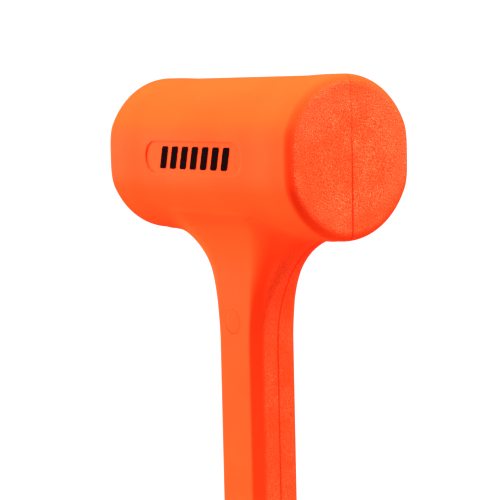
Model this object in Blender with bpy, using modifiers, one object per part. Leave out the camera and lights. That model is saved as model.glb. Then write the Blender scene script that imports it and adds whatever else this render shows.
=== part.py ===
"""Dead blow mallet, 3 lb class: a polyurethane body cast in one pour round a steel core.

The core is a shot canister in the head, welded to a steel rod that runs down the handle.
Loose steel shot in the canister slides from one end to the other and stops the rebound.
The frame is Z up with the mallet standing on its butt: X is the striking axis, and -Y is
the side with the badge. The origin is the centre of the butt's underside.
"""

import math

import bmesh
import bpy

MM = 0.001

# Driving dimensions.
GAP = 0.3 * MM
HEAD_CENTRE_Z = 318.0 * MM
HEAD_RADIUS = 31.75 * MM
HEAD_LENGTH = 123.0 * MM
HEAD_FLAT = 0.952 * HEAD_RADIUS
RIM_RADIUS = 2.9 * MM
SHANK_HALF_X = 13.7 * MM
SHANK_HALF_Y = 11.5 * MM
SHANK_CHAMFER = 3.9 * MM
NECK_FILLET = 32.0 * MM
NECK_CHAMFER = 8.0 * MM

# The grip, as height, half width in X, half depth in Y and corner chamfer.
GRIP_STATIONS = (
    (0.0 * MM, 16.6 * MM, 13.4 * MM, 4.6 * MM),
    (3.0 * MM, 19.0 * MM, 15.6 * MM, 5.4 * MM),
    (10.0 * MM, 19.0 * MM, 15.6 * MM, 5.4 * MM),
    (26.0 * MM, 15.6 * MM, 13.0 * MM, 4.8 * MM),
    (68.0 * MM, 17.0 * MM, 14.2 * MM, 5.2 * MM),
    (128.0 * MM, SHANK_HALF_X, SHANK_HALF_Y, SHANK_CHAMFER),
)
STEPS_PER_STATION = 5
NECK_STEPS = 16
NECK_TOP_SHARE = 0.6
SIDE_STEPS = 3

# The welded steel core.
CANISTER_RADIUS = 24.15 * MM
CANISTER_WALL = 2.5 * MM
CANISTER_HALF_LENGTH = 43.5 * MM
CAP_RADIUS = 22.4 * MM
CAP_THICKNESS = 3.0 * MM
CAP_WELD_LEG = 2.6 * MM
CAP_WELD_TOE = 0.45 * CAP_WELD_LEG
CAP_WELD_CROWN = 0.85 * CAP_WELD_LEG
ROD_RADIUS = 6.35 * MM
ROD_BOTTOM_Z = 18.0 * MM
ROD_WELD_LEG = 5.5 * MM
ROD_WELD_LIP = 0.3 * ROD_WELD_LEG
ROD_WELD_DROP = 1.4 * ROD_WELD_LEG
ROD_COPE_DROP = 0.8 * CANISTER_RADIUS

# The shot, which fills 60 % of the canister and is packed to 60 % of its own space.
SHOT_LAYERS = 6
SHOT_FILL = 0.6
SHOT_PACKING = 0.6
SHOT_STACK_HEIGHT = 39.0 * MM
SHOT_CLEARANCE = 0.6 * MM
SHOT_BEVEL_SHARE = 0.2

# Plugs in the holes left by the pins that hold the core in the mould.
PIN_PLUG_RADIUS = 5.0 * MM
PIN_HEIGHTS = {"upper": HEAD_CENTRE_Z - 67.6 * MM, "lower": 40.0 * MM}
PIN_OFFSET_X = -1.0 * MM

# Stadium recess for the badge on each flat side of the head.
RECESS_LENGTH = 64.2 * MM
RECESS_HEIGHT = 12.8 * MM
RECESS_DEPTH = 0.9 * MM
RECESS_SHIFT = 1.2 * MM
BADGE_LENGTH = 48.0 * MM
BADGE_HEIGHT = 9.2 * MM
BADGE_THICKNESS = 0.5 * MM
BADGE_BARS = 7
BADGE_BAR_SHARE = 0.62
BADGE_RAIL = 1.6 * MM
BADGE_SLANT = 2.2 * MM

ARC_STEPS = 24
RIM_STEPS = 4
ROUND_SIDES = 48
SMOOTH_ANGLE = math.radians(32)
X_TURN = (0.0, math.radians(90), 0.0)

ORANGE = (0.96, 0.075, 0.018, 1.0)
DARK_ORANGE = (0.90, 0.065, 0.016, 1.0)
BLACK_INK = (0.012, 0.006, 0.005, 1.0)
MILD_STEEL = (0.42, 0.42, 0.43, 1.0)
WELD_STEEL = (0.30, 0.27, 0.25, 1.0)
SHOT_STEEL = (0.55, 0.55, 0.57, 1.0)


def clear_scene():
    for obj in list(bpy.data.objects):
        bpy.data.objects.remove(obj, do_unlink=True)


def make_collection(name):
    collection = bpy.data.collections.new(name)
    bpy.context.scene.collection.children.link(collection)
    return collection


def make_material(name, colour, roughness, metallic):
    material = bpy.data.materials.new(name)
    material.use_nodes = True
    shader = material.node_tree.nodes["Principled BSDF"]
    shader.inputs["Base Color"].default_value = colour
    shader.inputs["Roughness"].default_value = roughness
    shader.inputs["Metallic"].default_value = metallic
    material.diffuse_color = colour
    return material


def add_object(name, bm, collection, material=None):
    """Turns a bmesh into an object of this collection, shaded smooth except at its edges."""
    mesh = bpy.data.meshes.new(name)
    bmesh.ops.recalc_face_normals(bm, faces=bm.faces)
    bm.to_mesh(mesh)
    bm.free()
    obj = bpy.data.objects.new(name, mesh)
    collection.objects.link(obj)
    if material:
        mesh.materials.append(material)
    mesh.shade_smooth()
    mesh.set_sharp_from_angle(angle=SMOOTH_ANGLE)
    return obj


def cylinder(name, radius, length, collection, material=None):
    """A cylinder along Z, centred on its object's origin."""
    bm = bmesh.new()
    bmesh.ops.create_cone(
        bm,
        cap_ends=True,
        segments=ROUND_SIDES,
        radius1=radius,
        radius2=radius,
        depth=length,
    )
    return add_object(name, bm, collection, material)


def turned(name, profile, closed, collection, material=None):
    """A profile of (radius, height) points, turned about Z with a Screw modifier."""
    mesh = bpy.data.meshes.new(name)
    points = [(radius, 0.0, height) for radius, height in profile]
    edges = [(i, i + 1) for i in range(len(points) - 1)]
    if closed:
        edges.append((len(points) - 1, 0))
    mesh.from_pydata(points, edges, [])
    obj = bpy.data.objects.new(name, mesh)
    collection.objects.link(obj)
    if material:
        mesh.materials.append(material)
    screw = obj.modifiers.new("turn", "SCREW")
    screw.axis = "Z"
    screw.steps = ROUND_SIDES
    screw.render_steps = ROUND_SIDES
    screw.use_merge_vertices = True
    screw.merge_threshold = 0.00001
    screw.use_smooth_shade = True
    return obj


def outline_plate(name, outline, thickness, collection, material=None):
    """A flat outline of (x, z) points, given a thickness along Y and centred on it."""
    bm = bmesh.new()
    face = bm.faces.new([bm.verts.new((x, -thickness / 2, z)) for x, z in outline])
    grown = bmesh.ops.extrude_face_region(bm, geom=[face])
    moved = [item for item in grown["geom"] if isinstance(item, bmesh.types.BMVert)]
    bmesh.ops.translate(bm, verts=moved, vec=(0.0, thickness, 0.0))
    return add_object(name, bm, collection, material)


def bevel_edges(obj, width, segments, angle):
    bevel = obj.modifiers.new("rounding", "BEVEL")
    bevel.width = width
    bevel.segments = segments
    bevel.limit_method = "ANGLE"
    bevel.angle_limit = math.radians(angle)


def boolean(obj, other, operation):
    modifier = obj.modifiers.new(other.name, "BOOLEAN")
    modifier.operation = operation
    modifier.object = other


def as_cutter(obj):
    obj.hide_render = True
    obj.display_type = "WIRE"
    return obj


def smooth_step(t):
    return t * t * (3.0 - 2.0 * t)


def neck_front_centre():
    """Depth and height of the centre of the fillet that joins shank and head, seen from the side.

    It touches the shank's front face and the head's circle, so its distance from the head's
    axis is the sum of both radii.
    """
    depth = SHANK_HALF_Y + NECK_FILLET
    drop = math.sqrt((HEAD_RADIUS + NECK_FILLET) ** 2 - depth**2)
    return depth, HEAD_CENTRE_Z - drop


def neck_touch_height():
    """Height at which the neck's front and rear fillets touch the head."""
    centre_z = neck_front_centre()[1]
    return HEAD_CENTRE_Z - (HEAD_CENTRE_Z - centre_z) * HEAD_RADIUS / (HEAD_RADIUS + NECK_FILLET)


def neck_half_depth(z):
    """Half depth in Y of the neck, up to where its fillet touches the head's circle."""
    depth, centre_z = neck_front_centre()
    rise = min(max(z - centre_z, 0.0), neck_touch_height() - centre_z)
    return depth - math.sqrt(NECK_FILLET**2 - rise**2)


def neck_flare(y, z):
    """How far the neck stands out in X from the shank, where its fillet meets the head above y."""
    underside = HEAD_CENTRE_Z - math.sqrt(HEAD_RADIUS**2 - y**2)
    rise = min(max(z - (underside - NECK_FILLET), 0.0), NECK_FILLET)
    return NECK_FILLET - math.sqrt(NECK_FILLET**2 - rise**2)


def handle_sections():
    """(height, half width, half depth, chamfer) of every section, from the butt to the head."""
    sections = []
    for low, high in zip(GRIP_STATIONS, GRIP_STATIONS[1:]):
        for step in range(STEPS_PER_STATION):
            t = step / STEPS_PER_STATION
            height = low[0] + (high[0] - low[0]) * t
            sizes = [a + (b - a) * smooth_step(t) for a, b in zip(low[1:], high[1:])]
            sections.append((height, *sizes))
    sections.append(GRIP_STATIONS[-1])
    start = HEAD_CENTRE_Z - HEAD_RADIUS - NECK_FILLET
    end = neck_touch_height()
    for step in range(NECK_STEPS + 1):
        t = math.sin(math.radians(90) * step / NECK_STEPS)
        height = start + (end - start) * t
        chamfer = SHANK_CHAMFER + (NECK_CHAMFER - SHANK_CHAMFER) * t * t
        sections.append((height, SHANK_HALF_X, neck_half_depth(height), chamfer))
    inside = HEAD_CENTRE_Z - NECK_TOP_SHARE * HEAD_RADIUS
    sections.append((inside, SHANK_HALF_X, neck_half_depth(inside), NECK_CHAMFER))
    return sections


def section_points(height, half_x, half_y, chamfer):
    """The eight-sided section at this height, its +X and -X sides spread out by the neck."""
    flat = half_y - chamfer
    side = []
    for step in range(SIDE_STEPS + 1):
        y = flat * step / SIDE_STEPS
        side.append((half_x + neck_flare(y, height), y))
    for share in (0.5, 1.0):
        y = flat + share * chamfer
        side.append((half_x + neck_flare(y, height) - share * chamfer, y))
    right = [(x, -y) for x, y in reversed(side[1:])] + side
    return right + [(-x, y) for x, y in reversed(right)]


def make_handle(collection):
    """Neck, shank and grip in one loft of eight-sided sections."""
    bm = bmesh.new()
    rings = []
    for height, half_x, half_y, chamfer in handle_sections():
        points = section_points(height, half_x, half_y, chamfer)
        rings.append([bm.verts.new((x, y, height)) for x, y in points])
    for low, high in zip(rings, rings[1:]):
        for i in range(len(low)):
            j = (i + 1) % len(low)
            bm.faces.new((low[i], low[j], high[j], high[i]))
    bm.faces.new(list(reversed(rings[0])))
    bm.faces.new(rings[-1])
    return as_cutter(add_object("handle_form", bm, collection))


def head_outline():
    """The head's section as (depth, height) points: two arcs joined by the side flats."""
    flat_angle = math.acos(HEAD_FLAT / HEAD_RADIUS)
    points = []
    for middle in (math.radians(90), math.radians(270)):
        start = middle - math.radians(90) + flat_angle
        sweep = math.radians(180) - 2 * flat_angle
        for step in range(ARC_STEPS + 1):
            angle = start + sweep * step / ARC_STEPS
            points.append((HEAD_RADIUS * math.cos(angle), HEAD_RADIUS * math.sin(angle)))
    return points


def make_head(collection, material):
    bm = bmesh.new()
    ring = [bm.verts.new((-HEAD_LENGTH / 2, y, z)) for y, z in head_outline()]
    face = bm.faces.new(ring)
    grown = bmesh.ops.extrude_face_region(bm, geom=[face])
    moved = [item for item in grown["geom"] if isinstance(item, bmesh.types.BMVert)]
    bmesh.ops.translate(bm, verts=moved, vec=(HEAD_LENGTH, 0.0, 0.0))
    obj = add_object("cast_body", bm, collection, material)
    obj.location.z = HEAD_CENTRE_Z
    bevel_edges(obj, RIM_RADIUS, RIM_STEPS, 60)
    return obj


def stadium(length, height):
    """A slot outline with round ends, as (x, z) points."""
    radius = height / 2
    straight = length / 2 - radius
    points = []
    for side in (1, -1):
        for step in range(ARC_STEPS // 2 + 1):
            angle = math.radians(-90) + math.pi * step / (ARC_STEPS // 2)
            points.append((side * (straight + radius * math.cos(angle)), side * radius * math.sin(angle)))
    return points


def badge_outline():
    """Slanted bars standing on one rail: a plain mark in one piece, as (x, z) points."""
    pitch = BADGE_LENGTH / BADGE_BARS
    bar = pitch * BADGE_BAR_SHARE
    low = -BADGE_HEIGHT / 2
    points = [(-BADGE_LENGTH / 2, low)]
    for index in range(BADGE_BARS):
        left = -BADGE_LENGTH / 2 + index * pitch
        rail_shift = BADGE_SLANT * BADGE_RAIL / BADGE_HEIGHT
        if index > 0:
            points.append((left + rail_shift, low + BADGE_RAIL))
        points.append((left + BADGE_SLANT, BADGE_HEIGHT / 2))
        points.append((left + bar + BADGE_SLANT, BADGE_HEIGHT / 2))
        if index < BADGE_BARS - 1:
            points.append((left + bar + rail_shift, low + BADGE_RAIL))
    points.append((-BADGE_LENGTH / 2 + (BADGE_BARS - 1) * pitch + bar, low))
    return list(reversed(points))


def make_badges(parts, material):
    """The printed mark in the recess of each side, turned round on the rear side."""
    depth = HEAD_FLAT - RECESS_DEPTH + GAP + BADGE_THICKNESS / 2
    for name, side, turn in (("front", -1, 0.0), ("rear", 1, math.pi)):
        badge = outline_plate(f"badge_{name}", badge_outline(), BADGE_THICKNESS, parts, material)
        badge.location = (0.0, side * depth, HEAD_CENTRE_Z)
        badge.rotation_euler.z = turn


def cut_recesses(body, cutters):
    for name, side in (("front", -1), ("rear", 1)):
        outline = stadium(RECESS_LENGTH, RECESS_HEIGHT)
        cutter = outline_plate(f"recess_{name}", outline, 2 * RECESS_DEPTH, cutters)
        cutter.location = (side * RECESS_SHIFT, side * HEAD_FLAT, HEAD_CENTRE_Z)
        boolean(body, as_cutter(cutter), "DIFFERENCE")


def rod_weld_profile(grow):
    """The outer side of the weld between rod and canister, grown by this much."""
    top = HEAD_CENTRE_Z - ROD_COPE_DROP
    shoulder = HEAD_CENTRE_Z - CANISTER_RADIUS - ROD_WELD_LIP
    toe = HEAD_CENTRE_Z - CANISTER_RADIUS - ROD_WELD_DROP
    inner = ROD_RADIUS + GAP
    return [
        (inner + ROD_WELD_LEG + grow, top),
        (inner + ROD_WELD_LEG + grow, shoulder - grow),
        (inner + ROD_WELD_LIP + grow, toe - grow),
    ]


def cut_core_cavity(body, cutters):
    """The space that the core leaves in the casting, which the pin holes open to the outside."""
    canister = cylinder(
        "canister_space",
        CANISTER_RADIUS + GAP,
        2 * (CANISTER_HALF_LENGTH + CAP_THICKNESS + 2 * GAP),
        cutters,
    )
    canister.rotation_euler = X_TURN
    canister.location.z = HEAD_CENTRE_Z
    boolean(body, as_cutter(canister), "DIFFERENCE")

    rod_top = HEAD_CENTRE_Z - CANISTER_RADIUS / 2
    rod_low = ROD_BOTTOM_Z - GAP
    rod = cylinder("rod_space", ROD_RADIUS + GAP, rod_top - rod_low, cutters)
    rod.location.z = (rod_top + rod_low) / 2
    boolean(body, as_cutter(rod), "DIFFERENCE")

    profile = rod_weld_profile(GAP)
    solid = [(0.0, profile[0][1]), *profile, (0.0, profile[-1][1])]
    weld = turned("rod_weld_space", solid, False, cutters)
    boolean(body, as_cutter(weld), "DIFFERENCE")

    for level, height in PIN_HEIGHTS.items():
        hole = cylinder(f"pin_space_{level}", PIN_PLUG_RADIUS + GAP, 4 * SHANK_HALF_Y, cutters)
        hole.rotation_euler.x = math.radians(90)
        hole.location = (PIN_OFFSET_X, 0.0, height)
        boolean(body, as_cutter(hole), "DIFFERENCE")


def grip_half_depth(height):
    """Half depth in Y of the grip or shank at this height."""
    for low, high in zip(GRIP_STATIONS, GRIP_STATIONS[1:]):
        if low[0] <= height <= high[0]:
            t = (height - low[0]) / (high[0] - low[0])
            return low[2] + (high[2] - low[2]) * smooth_step(t)
    return SHANK_HALF_Y


def make_pin_plugs(parts, material):
    """Four urethane plugs, from the rod out to the handle's front and rear faces."""
    inner = ROD_RADIUS + GAP
    for level, height in PIN_HEIGHTS.items():
        rims = (height - PIN_PLUG_RADIUS, height + PIN_PLUG_RADIUS)
        outer = min(grip_half_depth(rim) for rim in rims)
        for name, side in (("front", -1), ("rear", 1)):
            plug = cylinder(f"pin_plug_{level}_{name}", PIN_PLUG_RADIUS, outer - inner, parts, material)
            plug.rotation_euler.x = math.radians(90)
            plug.location = (PIN_OFFSET_X, side * (outer + inner) / 2, height)


def make_body(parts, cutters, urethane):
    body = make_head(parts, urethane)
    boolean(body, make_handle(cutters), "UNION")
    cut_recesses(body, cutters)
    cut_core_cavity(body, cutters)
    return body


def make_canister(parts, steel, weld_steel):
    inner = CANISTER_RADIUS - CANISTER_WALL
    half = CANISTER_HALF_LENGTH
    wall = [
        (CANISTER_RADIUS, half),
        (CANISTER_RADIUS, -half),
        (inner, -half),
        (inner, half),
    ]
    tube = turned("canister_tube", wall, True, parts, steel)
    tube.rotation_euler = X_TURN
    tube.location.z = HEAD_CENTRE_Z

    bead_inner = CAP_RADIUS + GAP
    face = half + GAP
    bead = [
        (CANISTER_RADIUS, face + CAP_WELD_TOE),
        (CANISTER_RADIUS, face),
        (bead_inner, face),
        (bead_inner, face + CAP_WELD_LEG),
        ((bead_inner + CANISTER_RADIUS) / 2, face + CAP_WELD_CROWN),
    ]
    for name, side in (("left", -1), ("right", 1)):
        cap = cylinder(f"canister_cap_{name}", CAP_RADIUS, CAP_THICKNESS, parts, steel)
        cap.rotation_euler = X_TURN
        cap.location = (side * (face + CAP_THICKNESS / 2), 0.0, HEAD_CENTRE_Z)

        weld = turned(f"cap_weld_{name}", bead, True, parts, weld_steel)
        weld.rotation_euler = (0.0, side * math.radians(90), 0.0)
        weld.location.z = HEAD_CENTRE_Z


def make_rod(parts, cutters, steel, weld_steel):
    """The handle rod, coped to sit under the canister, and the weld round its top."""
    cope = cylinder("canister_cope", CANISTER_RADIUS + GAP, 2 * HEAD_LENGTH, cutters)
    cope.rotation_euler = X_TURN
    cope.location.z = HEAD_CENTRE_Z
    as_cutter(cope)

    top = HEAD_CENTRE_Z - ROD_COPE_DROP
    rod = cylinder("handle_rod", ROD_RADIUS, top - ROD_BOTTOM_Z, parts, steel)
    rod.location.z = (top + ROD_BOTTOM_Z) / 2
    boolean(rod, cope, "DIFFERENCE")

    inner = ROD_RADIUS + GAP
    profile = rod_weld_profile(0.0)
    ring = [*profile, (inner, profile[-1][1]), (inner, profile[0][1])]
    weld = turned("rod_weld", ring, True, parts, weld_steel)
    boolean(weld, cope, "DIFFERENCE")


def make_shot(parts, steel):
    """The loose shot as stacked layers, each free to slide along the canister on its own."""
    centre = bpy.data.objects.new("canister_centre", None)
    centre.location.z = HEAD_CENTRE_Z
    parts.objects.link(centre)
    bore = CANISTER_RADIUS - CANISTER_WALL - SHOT_CLEARANCE
    length = SHOT_FILL * 2 * (CANISTER_HALF_LENGTH + GAP)
    pitch = SHOT_STACK_HEIGHT / SHOT_LAYERS
    thickness = SHOT_PACKING * pitch
    for index in range(SHOT_LAYERS):
        height = (index + 0.5) * pitch - SHOT_STACK_HEIGHT / 2
        edges = (height - thickness / 2, height + thickness / 2)
        widths = [math.sqrt(bore**2 - edge**2) for edge in edges]
        bm = bmesh.new()
        sides = []
        for x in (-length / 2, length / 2):
            corners = (
                (-widths[0], edges[0]),
                (widths[0], edges[0]),
                (widths[1], edges[1]),
                (-widths[1], edges[1]),
            )
            sides.append([bm.verts.new((x, y, z)) for y, z in corners])
        for i in range(4):
            j = (i + 1) % 4
            bm.faces.new((sides[0][i], sides[0][j], sides[1][j], sides[1][i]))
        bm.faces.new(list(reversed(sides[0])))
        bm.faces.new(sides[1])
        layer = add_object(f"shot_layer_{index + 1}", bm, parts, steel)
        layer.parent = centre
        bevel_edges(layer, SHOT_BEVEL_SHARE * thickness, 1, 30)


def main():
    clear_scene()
    parts = make_collection("dead_blow_mallet")
    cutters = make_collection("cutters")
    urethane = make_material("cast_urethane", ORANGE, 0.45, 0.0)
    plug_urethane = make_material("plug_urethane", DARK_ORANGE, 0.5, 0.0)
    ink = make_material("badge_ink", BLACK_INK, 0.5, 0.0)
    steel = make_material("core_steel", MILD_STEEL, 0.35, 1.0)
    weld_steel = make_material("weld_steel", WELD_STEEL, 0.55, 1.0)
    shot_steel = make_material("shot_steel", SHOT_STEEL, 0.25, 1.0)

    make_body(parts, cutters, urethane)
    make_pin_plugs(parts, plug_urethane)
    make_badges(parts, ink)
    make_canister(parts, steel, weld_steel)
    make_rod(parts, cutters, steel, weld_steel)
    make_shot(parts, shot_steel)


main()
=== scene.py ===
"""Dead blow mallet: the finished look of the cast body, its mark, the steel core and the shot.

Laid out as an add-on: sizes and colours sit in property groups, and one operator makes each
piece. The shape code works in millimetres and writes its meshes in metres.
"""

import math

import bmesh
import bpy
import numpy as np
from bpy.props import FloatProperty, FloatVectorProperty, IntProperty, PointerProperty
from mathutils import Matrix, Vector


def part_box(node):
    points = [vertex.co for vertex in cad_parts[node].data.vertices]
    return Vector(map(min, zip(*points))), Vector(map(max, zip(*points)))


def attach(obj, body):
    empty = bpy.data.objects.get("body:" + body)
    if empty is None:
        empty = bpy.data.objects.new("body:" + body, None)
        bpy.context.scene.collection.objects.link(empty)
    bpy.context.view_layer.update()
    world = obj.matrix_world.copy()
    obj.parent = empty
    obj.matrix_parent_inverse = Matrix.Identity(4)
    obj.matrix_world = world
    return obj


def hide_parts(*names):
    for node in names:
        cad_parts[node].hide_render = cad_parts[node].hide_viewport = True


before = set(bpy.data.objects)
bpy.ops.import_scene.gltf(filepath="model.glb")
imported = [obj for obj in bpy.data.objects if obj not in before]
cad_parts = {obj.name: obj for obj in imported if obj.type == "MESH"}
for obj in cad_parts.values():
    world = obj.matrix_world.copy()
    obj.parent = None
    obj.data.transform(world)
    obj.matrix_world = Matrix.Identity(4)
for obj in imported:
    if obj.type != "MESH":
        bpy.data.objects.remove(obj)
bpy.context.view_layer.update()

bl_info = {
    "name": "Dead blow mallet",
    "version": (1, 0, 0),
    "blender": (4, 5, 0),
    "location": "View3D > Sidebar > Mallet",
    "description": "Builds the cast body, marks, steel core and shot of a dead blow mallet",
    "category": "Object",
}

MM = 0.001

# Sizes read from the frame, in millimetres.
BODY_LOW, BODY_HIGH = (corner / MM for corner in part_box("cast_body"))
TUBE_LOW, TUBE_HIGH = (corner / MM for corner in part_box("canister_tube"))
ROD_LOW, ROD_HIGH = (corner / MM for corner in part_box("handle_rod"))
CAP_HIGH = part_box("canister_cap_right")[1] / MM
HEAD_Z = (TUBE_LOW.z + TUBE_HIGH.z) / 2
HEAD_RADIUS = BODY_HIGH.z - HEAD_Z
HEAD_HALF = BODY_HIGH.x
HEAD_FLAT = BODY_HIGH.y
TUBE_RADIUS = TUBE_HIGH.y
ROD_RADIUS = ROD_HIGH.y

# Fixed proportions of the form and of its marks.
FLARE_FULL = 0.4  # share of the flare's run, next to the face, that is fully swollen
FLAT_FLARE = 1.5  # how much more the flats swell than the round
NECK_TOP = 0.6  # how far below the head's axis the neck's form ends, in head radii
SEAM_FADE = 0.6  # height over which the parting line fades above the axis, in head radii
SEAM_LOW = 0.88  # share of the parting line's depth below the axis
SEAM_TOP = 0.30  # the same at the top of the head
# The parting line's darker colour is painted shade, spread a little wider than the groove's cut.
SEAM_SHADE_WIDTH = 1.7  # how much wider the parting line's colour is than its cut
EDGE_GRAIN = 0.5  # grain on the shank's edges, as a share of that on the striking faces
RECESS_SOFTNESS = 0.35  # rounding of the recess's edge
GAP = 0.3  # air between the casting, the core and the weld beads

# Height that the softboxes aim at, as a share of the head's height.
AIM_SHARE = 0.9
PAPER = (0.34, 0.34, 0.34)
# Softboxes as name, angle from the camera, height angle, width, height and power in watts.
SOFTBOXES = (
    ("left_rim", -115.0, 0.0, 0.8, 0.5, 44.0),
    ("left_key", -82.0, 30.0, 0.8, 0.8, 16.0),
    ("right_key", 77.0, 36.0, 0.8, 0.8, 24.0),
    ("top", 0.0, 85.0, 0.8, 0.8, 43.0),
)


def length(name, description, millimetres):
    return FloatProperty(
        name=name,
        description=description,
        default=millimetres * MM,
        min=0.0,
        unit="LENGTH",
        precision=5,
    )


def angle(name, description, degrees):
    default = math.radians(degrees)
    return FloatProperty(name=name, description=description, default=default, subtype="ANGLE")


def share(name, description, value):
    return FloatProperty(
        name=name, description=description, default=value, min=0.0, max=1.0, subtype="FACTOR"
    )


def colour(name, description, value):
    return FloatVectorProperty(
        name=name, description=description, default=value, size=3, min=0.0, max=1.0, subtype="COLOR"
    )


class MALLET_PG_shape(bpy.types.PropertyGroup):
    """Sizes of the moulded form and its marks."""

    rim_radius: length("Rim radius", "Rounding between the head's side and its striking faces", 3.7)
    corner_blend: length("Corner blend", "Softness of the edge between round side and flat", 1.6)
    end_flare: length("End flare", "How far the head swells at its striking ends", 0.4)
    flare_run: length("Flare run", "Length of the head over which it swells", 27.0)
    face_crown: length("Face crown", "How far the striking faces are domed", 0.35)
    shank_half_x: length("Shank half width", "Half width of the shank along the head", 13.7)
    shank_half_y: length("Shank half depth", "Half depth of the shank", 11.5)
    shank_chamfer: length("Shank chamfer", "Width of the shank's corner chamfers", 3.9)
    edge_radius: length("Edge radius", "Rounding along the shank's edges", 0.9)
    neck_fillet: length("Neck fillet", "Radius of the sweep at the front and rear", 37.0)
    neck_spread: length("Neck spread", "How far the sweep spreads along the head", 38.1)
    neck_drop: length("Neck drop", "How far the sweep runs down the shank", 46.2)
    neck_chamfer: length("Neck chamfer", "Width of the chamfers where the neck meets the head", 7.5)
    neck_edge: length("Neck edge radius", "Rounding of the chamfers' edges at the head", 9.5)
    neck_blend: length("Neck blend", "Softness of the line where the sweep meets the head", 2.0)
    butt_radius: length("Butt radius", "Rounding of the butt's lower edge", 3.0)
    recess_shift: length("Recess shift", "How far the recess lies left of the head's middle", 1.2)
    recess_length: length("Recess length", "Length of the badge recess", 64.2)
    recess_height: length("Recess height", "Height of the badge recess", 12.8)
    recess_depth: length("Recess depth", "Depth of the badge recess", 0.5)
    seam_width: length("Seam width", "Half width of the parting line", 0.20)
    seam_depth: length("Seam depth", "Depth of the parting line", 0.28)
    check_pitch: length("Checker pitch", "Spacing of the grip's checkering", 4.0)
    check_depth: length("Checker depth", "Depth of the grip's checkering", 0.55)
    plug_gap: length("Plug gap", "Gap round each pin plug", 0.05)
    plug_tilt: angle("Plug tilt", "How far each plug's face leans from the handle's face", 1.4)
    badge_thickness: length("Print thickness", "Thickness of the printed mark", 0.15)
    pellet_diameter: length("Pellet diameter", "Diameter of one steel shot pellet", 3.7)
    badge_bars: IntProperty(name="Badge bars", description="Slanted bars in the mark", default=7, min=1)


class MALLET_PG_finish(bpy.types.PropertyGroup):
    """Colours and grain of the materials."""

    urethane: colour("Urethane", "Colour of the cast urethane", (0.96, 0.066, 0.011))
    # Painted shade: the darker red painted into the parting line and the grip's grooves.
    urethane_painted_shade: colour("Deep urethane", "Colour in seams and hollows", (0.85, 0.022, 0.004))
    sheen: colour("Sheen", "Colour of the urethane's soft highlights", (1.0, 0.45, 0.20))
    sheen_level: share("Sheen level", "Strength of the urethane's soft highlights", 0.003)
    # Painted glow: the urethane gives off a constant light of its own, even where no lamp reaches. It
    # stands in for the neon pigment's fluorescence and for light scattered inside the urethane.
    painted_glow_colour: colour("Glow colour", "Colour that the neon pigment gives back", (1.0, 0.010, 0.002))
    ink: colour("Ink", "Colour of the printed mark", (0.004, 0.002, 0.002))
    steel: colour("Steel", "Colour of the drawn steel core", (0.42, 0.42, 0.43))
    weld: colour("Weld", "Colour of the weld beads", (0.27, 0.24, 0.22))
    shot: colour("Shot", "Colour of the steel shot", (0.56, 0.56, 0.58))
    pebble_size: length("Pebble size", "Size of the grain on the striking faces", 0.56)
    # Strength of the painted glow.
    painted_glow: share("Fluorescence", "Light that the neon pigment gives back", 0.50)


class MALLET_PG_stage(bpy.types.PropertyGroup):
    """Camera, lights and floor."""

    azimuth: angle("Azimuth", "Camera direction, from the front to the right striking face", 52.28)
    elevation: angle("Elevation", "Height of the camera as an angle", 5.42)
    roll: angle("Roll", "Tilt of the camera", -1.29)
    distance: length("Distance", "From the camera to the head's centre, along the view", 714.4)
    head_right: length("Head right", "How far the head's centre lies right of the view's axis", 1.17)
    head_up: length("Head up", "How far the head's centre lies above the view's axis", 38.75)
    lens: FloatProperty(name="Lens", description="Focal length", default=126.0, subtype="DISTANCE_CAMERA")
    light_distance: length("Light distance", "From each softbox to the mallet", 1300.0)
    floor_radius: length("Floor radius", "Radius of the round floor", 460.0)


def smooth_step(t):
    return t * t * (3.0 - 2.0 * t)


def ramp(value, start, end):
    """0 up to start, then rising to 1 at end."""
    return np.clip((value - start) / (end - start), 0.0, 1.0)


def smooth_max(a, b, blend):
    near = np.maximum(blend - np.abs(a - b), 0.0) / blend
    return np.maximum(a, b) + near * near * blend / 4.0


def round_intersection(a, b, radius):
    """The field of what lies in both forms, its outer edge rounded."""
    corner = np.hypot(np.maximum(a + radius, 0.0), np.maximum(b + radius, 0.0))
    return np.minimum(np.maximum(a, b), -radius) + corner


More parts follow.
